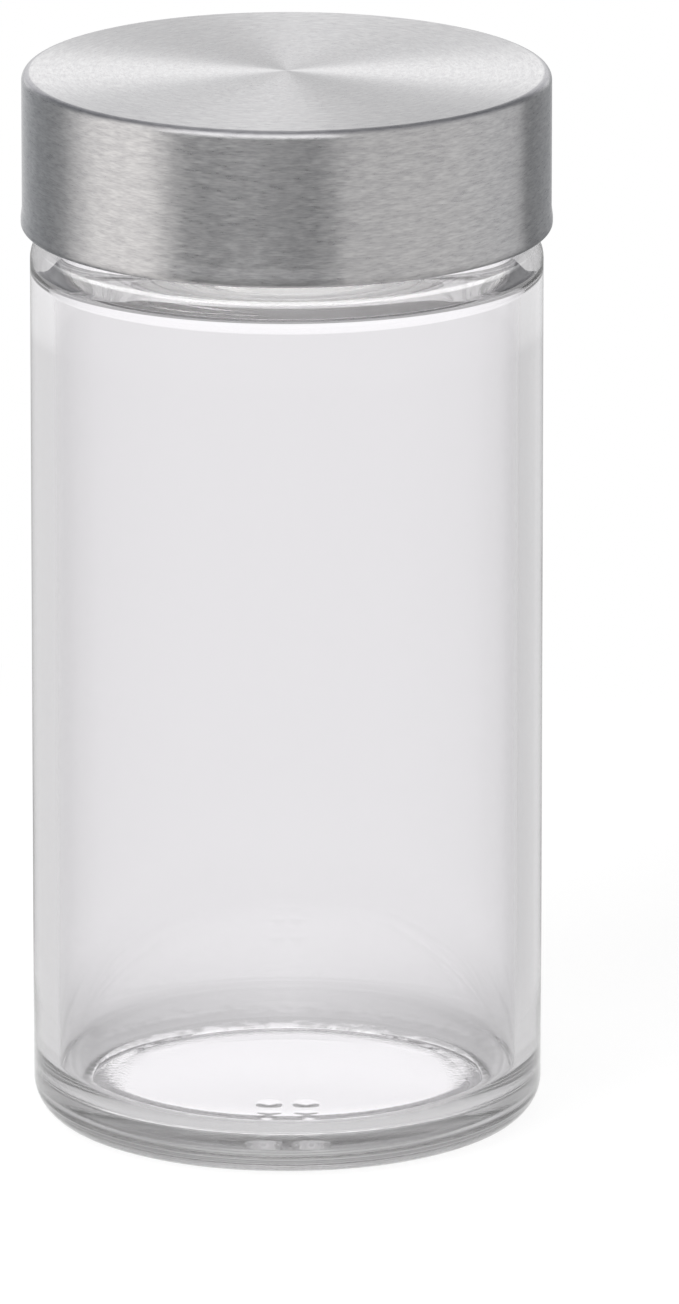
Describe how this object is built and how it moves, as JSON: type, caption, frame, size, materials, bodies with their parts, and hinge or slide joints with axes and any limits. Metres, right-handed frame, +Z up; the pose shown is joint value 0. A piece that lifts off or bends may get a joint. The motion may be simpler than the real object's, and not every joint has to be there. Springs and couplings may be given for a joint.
{
  "type": "spice jar",
  "caption": "Straight-sided clear glass spice jar with a brushed steel screw lid that seals on a foam liner.",
  "frame": {"origin": "centre of the foot ring, on the surface that the jar stands on", "axes": "+Z up along the jar's axis; the lid unscrews about +Z"},
  "size_m": [0.0434, 0.0434, 0.088],
  "materials": {
    "clear_glass": "clear soda-lime glass, smooth, stippled foot ring",
    "brushed_lid_steel": "brushed round the skirt and in circles on the top",
    "insert_plastic": "natural white polypropylene, satin",
    "liner_foam": "white polyethylene foam with a smooth skin"
  },
  "bodies": {
    "jar": {"glass_jar": "clear_glass"},
    "liner": {"seal_liner": "liner_foam"},
    "cap": {"lid_insert": "insert_plastic", "lid_shell": "brushed_lid_steel"}
  },
  "joints": [
    {"name": "lid_lift", "type": "slide", "parent": "jar", "child": "liner", "axis": [0, 0, 1], "range_m": [0, 0.0106]},
    {"name": "lid_turn", "type": "hinge", "parent": "liner", "child": "cap", "pos_m": [0, 0, 0.0751], "axis": [0, 0, 1], "range_deg": [0, 900]}
  ],
  "couplings": [
    {"joint": "lid_lift", "follows": "lid_turn", "m_per_rad": 0.00067323}
  ]
}
